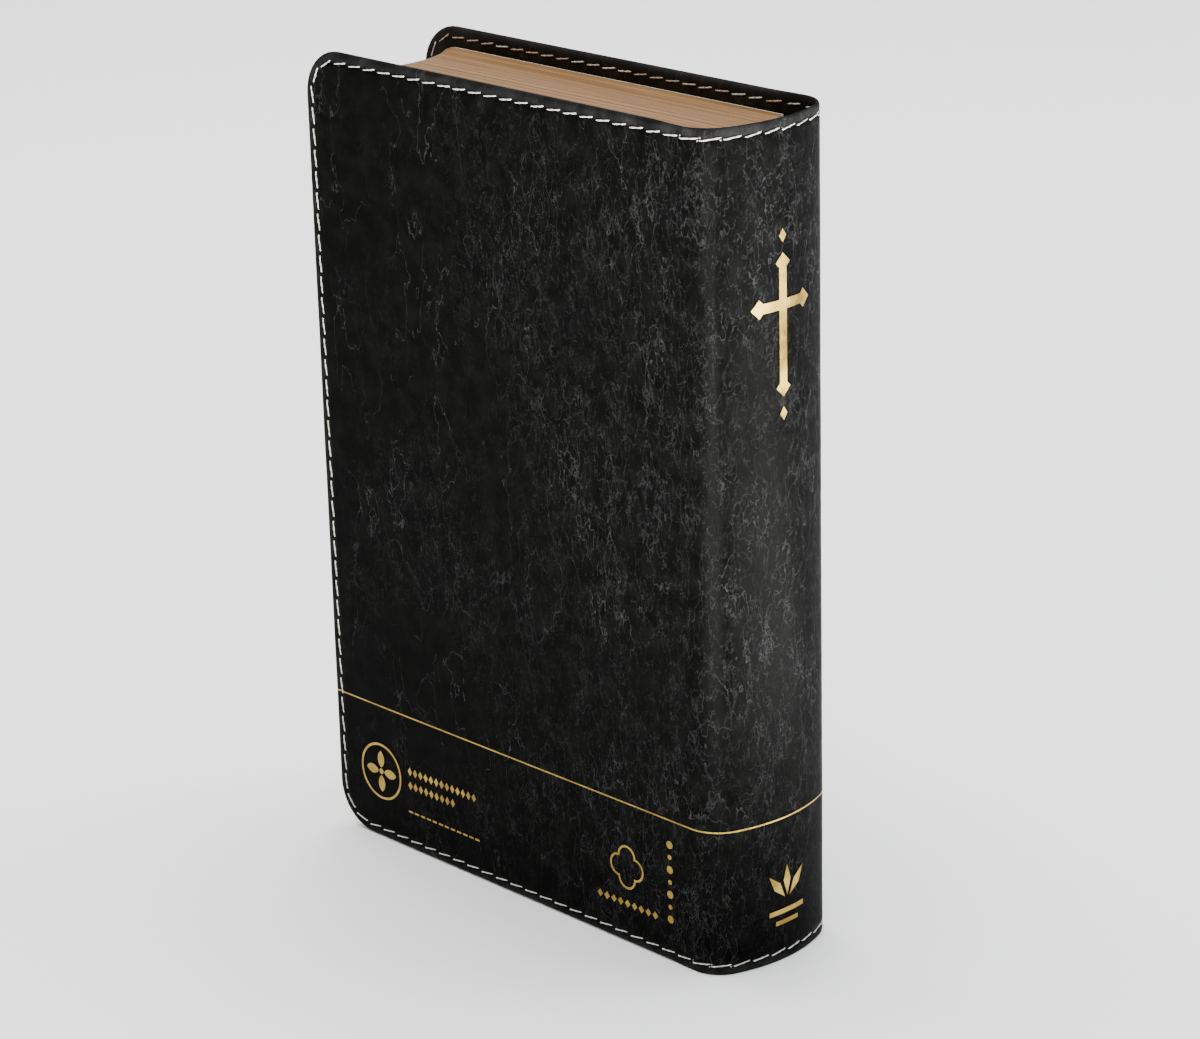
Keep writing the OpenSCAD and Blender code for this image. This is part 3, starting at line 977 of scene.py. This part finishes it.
gutter_x = -4.5 * MM
column_middle = 21.5 * MM
column_half_w = 19.6 * MM
rows_half_h = 69 * MM
row_pitch = 2.3 * MM
gilt = gilt_material()
page_paper = page_material()
page_corner_r = 7 * MM
page_corner_steps = 12
fold_steps = 8
block_r = 24 * MM
middle_low, middle_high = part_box("section_08")
block_cx = middle_high.x - math.sqrt(block_r**2 - middle_high.y**2)
page_w = middle_high.x - middle_low.x


def page_outline(x_0, x_1, low, high):
    """(x, z) from the tail at the fold, round the fore-edge, to the head at the fold."""
    lower = [(x_1, low)]
    for i in range(page_corner_steps + 1):
        turn = math.pi / 2 * i / page_corner_steps
        x = x_0 + page_corner_r * (1 - math.sin(turn))
        lower.append((x, low + page_corner_r * (1 - math.cos(turn))))
    return lower + [(x, low + high - z) for x, z in reversed(lower)]


def text_section(name):
    """One section: gilt at its three trimmed edges, and rounded at its fold."""
    low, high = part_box(name)
    middle = (low.y + high.y) / 2
    fold_r = (high.y - low.y) / 2
    bm = bmesh.new()
    levels = []
    for step in range(-fold_steps, fold_steps + 1):
        turn = math.radians(90 * step / fold_steps)
        y = middle + fold_r * math.sin(turn)
        trim = 0.012 * MM * (1 + noise.noise(Vector((0, y / (0.11 * MM), 5))))
        trim += 0.05 * MM * (abs(step) == fold_steps)
        x_0 = block_cx + math.sqrt(block_r**2 - y**2) - page_w + trim
        x_1 = high.x - fold_r * (1 - math.cos(turn))
        outline = page_outline(x_0, x_1, low.z + trim, high.z - trim)
        levels.append([bm.verts.new((x, y, z)) for x, z in outline])
    for a, b in zip(levels, levels[1:]):
        for i in range(len(a)):
            face = bm.faces.new((a[i - 1], a[i], b[i], b[i - 1]))
            face.material_index = 0 if i else 1
    for level in (levels[0], levels[-1]):
        bm.faces.new(level).material_index = 1
    bmesh.ops.recalc_face_normals(bm, faces=bm.faces)
    return finished(name + "_leaves", bm, [gilt, page_paper], 50)


for number in range(1, 17):
    section = "section_%02d" % number
    leaves = text_section(section)
    body = "spine" if 6 <= number <= 11 else section
    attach(leaves, body)
    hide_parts(section)

# ---- Endpapers
# A sheet of stout cream paper at each side: half is pasted over the board and
# the turned-in leather, and half is left free as the first leaf.


def endpaper_material():
    """Cream laid paper with a faint fibre and faint darker clouds."""
    material, tree, shader = new_material("cream_endpaper", 0.75, specular=0.25)
    place = add_node(tree, "ShaderNodeTexCoord").outputs["Object"]
    fibre = speckle(tree, place, 700, 6.0)
    cloud = ramp(tree, speckle(tree, place, 30, 3.0), 0.3, 0.7)
    light = mix_colour(tree, fibre, (0.56, 0.5, 0.38, 1), (0.7, 0.64, 0.51, 1))
    colour = mix_colour(tree, maths(tree, "MULTIPLY", cloud, 0.3), light, (0.5, 0.43, 0.31, 1))
    tree.links.new(colour, shader.inputs["Base Color"])
    wire = add_node(
        tree, "ShaderNodeTexWave", {"Vector": place, "Scale": 330, "Distortion": 0.4},
        bands_direction="Z",
    )
    height = maths(tree, "MULTIPLY_ADD", wire.outputs["Fac"], 0.4, fibre)
    add_bump(tree, shader, height, 0.03 * MM, 0.5)
    return material


paint(endpaper_material(), "front_pastedown", "back_pastedown", "front_flyleaf", "back_flyleaf")

# ---- Boards and inlay
# Thin flexible card stiffens each cover under the leather, with a second layer
# filled in level with the turned-in edge, and a lighter strip backs the spine.


def card_material():
    """Grey-brown pulp board with darker flecks."""
    material, tree, shader = new_material("pulp_board", 0.85, specular=0.2)
    place = add_node(tree, "ShaderNodeTexCoord").outputs["Object"]
    pulp = speckle(tree, place, 500, 6.0)
    flecks = ramp(tree, speckle(tree, place, 1600, 2.0), 0.68, 0.76)
    board = mix_colour(tree, pulp, (0.25, 0.2, 0.14, 1), (0.4, 0.33, 0.25, 1))
    colour = mix_colour(tree, flecks, board, (0.1, 0.07, 0.05, 1))
    tree.links.new(colour, shader.inputs["Base Color"])
    add_bump(tree, shader, pulp, 0.08 * MM, 0.6)
    return material


paint(
    card_material(), "front_board", "back_board", "front_infill", "back_infill", "spine_inlay"
)

# ---- Sewing and linings behind the block
# The sections are sewn over three linen tapes, and the spine of the block is
# lined with open-weave mull and then with brown paper.


def weave_group():
    """Plain weave: Height rises over each thread, and Hole is 1 between threads."""
    group = new_group(
        "plain_weave",
        "ShaderNodeTree",
        {"Vector": "NodeSocketVector", "Threads": 1500.0, "Openness": 0.3},
        {"Height": "NodeSocketFloat", "Hole": "NodeSocketFloat"},
    )
    given = add_node(group, "NodeGroupInput").outputs
    parts = add_node(group, "ShaderNodeSeparateXYZ", {0: given["Vector"]}).outputs
    waves = []
    for axis in ("Y", "Z"):
        half_turns = maths(group, "MULTIPLY", given["Threads"], math.pi)
        turns = maths(group, "MULTIPLY", parts[axis], half_turns)
        waves.append(maths(group, "ABSOLUTE", maths(group, "SINE", turns)))
    height = maths(group, "MAXIMUM", waves[0], waves[1])
    hole = ramp(group, height, given["Openness"], maths(group, "MULTIPLY", given["Openness"], 0.6))
    result = add_node(group, "NodeGroupOutput")
    group.links.new(height, result.inputs["Height"])
    group.links.new(hole, result.inputs["Hole"])
    return group


plain_weave = weave_group()


def cloth_material(name, threads, openness, colour, gap_colour):
    """Woven cloth seen face on, its threads running round and up the spine."""
    material, tree, shader = new_material(name, 0.85, specular=0.2)
    place = add_node(tree, "ShaderNodeTexCoord").outputs["Object"]
    weave = tree.nodes.new("ShaderNodeGroup")
    weave.node_tree = plain_weave
    tree.links.new(place, weave.inputs["Vector"])
    weave.inputs["Threads"].default_value = threads
    weave.inputs["Openness"].default_value = openness
    slub = speckle(tree, place, 600, 3.0)
    darker = tuple(0.7 * part for part in colour[:3]) + (1,)
    threads_colour = mix_colour(tree, slub, darker, colour)
    shown = mix_colour(tree, weave.outputs["Hole"], threads_colour, gap_colour)
    tree.links.new(shown, shader.inputs["Base Color"])
    add_bump(tree, shader, weave.outputs["Height"], 0.08 * MM, 0.8)
    return material


paint(
    cloth_material("open_mull", 900.0, 0.6, (0.72, 0.68, 0.56, 1), (0.3, 0.24, 0.16, 1)), "mull"
)
paint(
    cloth_material("linen_tape", 1800.0, 0.3, (0.7, 0.65, 0.52, 1), (0.3, 0.25, 0.18, 1)),
    "sewing_tapes",
)
sewing_thread = cloth_material(
    "sewing_thread", 3500.0, 0.2, (0.78, 0.74, 0.66, 1), (0.5, 0.45, 0.36, 1)
)
paint(sewing_thread, "section_sewing")


def lining_material():
    """Brown kraft lining paper."""
    material, tree, shader = new_material("kraft_lining", 0.8, specular=0.25)
    place = add_node(tree, "ShaderNodeTexCoord").outputs["Object"]
    fibre = speckle(tree, stretched(tree, place, (1, 6, 1)), 300, 5.0)
    colour = mix_colour(tree, fibre, (0.3, 0.2, 0.11, 1), (0.5, 0.37, 0.23, 1))
    tree.links.new(colour, shader.inputs["Base Color"])
    add_bump(tree, shader, fibre, 0.05 * MM, 0.5)
    return material


paint(lining_material(), "spine_lining")

# ---- Head and tail bands
# A bead of two silks is worked over a cord across each end of the block's spine,
# with a tail of cloth glued down behind it.


def silk_material():
    """Worked silk, striped where the two colours change over."""
    material, tree, shader = new_material("worked_silk", 0.45, specular=0.4)
    shader.inputs["Sheen Weight"].default_value = 0.4
    tone = add_node(tree, "ShaderNodeAttribute", attribute_name="silk_stripe").outputs["Fac"]
    place = add_node(tree, "ShaderNodeTexCoord").outputs["Object"]
    fibre = speckle(tree, place, 4000, 3.0)
    light = mix_colour(tree, fibre, (0.55, 0.46, 0.3, 1), (0.8, 0.73, 0.58, 1))
    dark = mix_colour(tree, fibre, (0.1, 0.012, 0.012, 1), (0.2, 0.03, 0.025, 1))
    tree.links.new(mix_colour(tree, tone, light, dark), shader.inputs["Base Color"])
    add_bump(tree, shader, fibre, 0.03 * MM, 0.6)
    return material


silk = silk_material()
linen_tail = cloth_material(
    "band_cloth", 2200.0, 0.25, (0.74, 0.69, 0.58, 1), (0.4, 0.34, 0.25, 1)
)


def wrap_tree():
    """Stands a ring of silk across a cord at each point, with its colours in stripes."""
    tree = new_group(
        "silk_wraps",
        "GeometryNodeTree",
        {
            "Geometry": "NodeSocketGeometry", "Cord Radius": 0.6 * MM, "Silk Radius": 0.2 * MM,
            "Wraps Per Stripe": 4.0, "Silk": "NodeSocketMaterial",
        },
        {"Geometry": "NodeSocketGeometry"},
    )
    given = add_node(tree, "NodeGroupInput").outputs
    loop = add_node(
        tree, "GeometryNodeCurvePrimitiveCircle", {"Resolution": 12, "Radius": given["Cord Radius"]}
    )
    upright = add_node(
        tree, "GeometryNodeTransform",
        {"Geometry": loop.outputs[0], "Rotation": (0, math.pi / 2, 0)},
    )
    strand = add_node(
        tree, "GeometryNodeCurvePrimitiveCircle", {"Resolution": 5, "Radius": given["Silk Radius"]}
    )
    ring = add_node(
        tree, "GeometryNodeCurveToMesh",
        {"Curve": upright.outputs[0], "Profile Curve": strand.outputs[0]},
    )
    index = add_node(tree, "GeometryNodeInputIndex").outputs[0]
    stripe = maths(tree, "FLOOR", maths(tree, "DIVIDE", index, given["Wraps Per Stripe"]))
    odd = maths(tree, "MODULO", stripe, 2.0)
    lean = random_between(tree, 0.12, 0.2, 3)
    wraps = stood_on_points(tree, given, ring.outputs[0], lean)
    striped = stored(tree, wraps, "silk_stripe", odd, "FLOAT", "INSTANCE")
    finish_tree(tree, striped, given["Silk"])
    return tree


silk_wraps = wrap_tree()
band_half_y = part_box("head_band")[1].y
bead_arc_r = block_r + 1.1 * MM
bead_r = 0.5 * MM
wrap_pitch = 0.29 * MM
band_cloth_h = 9 * MM
band_cloth_low = 0.62 * MM
band_cloth_high = 0.83 * MM
band_cloth_steps = 24


def block_place(rise_r, turn, z):
    """A point behind the block's spine, at a radius and an angle about its centre."""
    return Vector((block_cx + rise_r * math.cos(turn), rise_r * math.sin(turn), z))


def bead(name, z):
    """The worked bead, from one side of the block's spine to the other."""
    reach = math.asin((band_half_y - 0.3 * MM) / bead_arc_r)
    count = round(2 * reach * bead_arc_r / wrap_pitch)
    points = []
    for i in range(count):
        turn = -reach + 2 * reach * (i + 0.5) / count
        along = (-math.sin(turn), math.cos(turn), 0)
        points.append((block_place(bead_arc_r, turn, z), along, (0, 0, 1)))
    values = {
        "Cord Radius": 0.34 * MM, "Silk Radius": 0.15 * MM, "Wraps Per Stripe": 4.0, "Silk": silk
    }
    return grown(name, points, silk_wraps, values)


def band_tail(name, z_0, z_1):
    """The cloth tail of a band, a thin curved strip glued behind the sections."""
    bm = bmesh.new()
    reach = math.asin((band_half_y - 0.2 * MM) / (block_r + 0.8 * MM))
    sections = []
    for i in range(band_cloth_steps + 1):
        turn = -reach + 2 * reach * i / band_cloth_steps
        corners = [(band_cloth_low, z_0), (band_cloth_high, z_0)]
        corners += [(band_cloth_high, z_1), (band_cloth_low, z_1)]
        sections.append(
            [bm.verts.new(block_place(block_r + rise, turn, z)) for rise, z in corners]
        )
    for a, b in zip(sections, sections[1:]):
        for i in range(4):
            bm.faces.new((a[i - 1], a[i], b[i], b[i - 1]))
    bm.faces.new(sections[0])
    bm.faces.new(sections[-1])
    bmesh.ops.recalc_face_normals(bm, faces=bm.faces)
    return finished(name, bm, [linen_tail])


head_band_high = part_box("head_band")[1].z
tail_band_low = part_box("tail_band")[0].z
head_bead = bead("head_band_bead", head_band_high - bead_r)
head_tail = band_tail("head_band_cloth", head_band_high - band_cloth_h, head_band_high - bead_r)
tail_bead = bead("tail_band_bead", tail_band_low + bead_r)
tail_tail = band_tail("tail_band_cloth", tail_band_low + bead_r, tail_band_low + band_cloth_h)
for piece, node in (
    (head_bead, "head_band"), (head_tail, "head_band"),
    (tail_bead, "tail_band"), (tail_tail, "tail_band"),
):
    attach(piece, "spine")
    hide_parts(node)
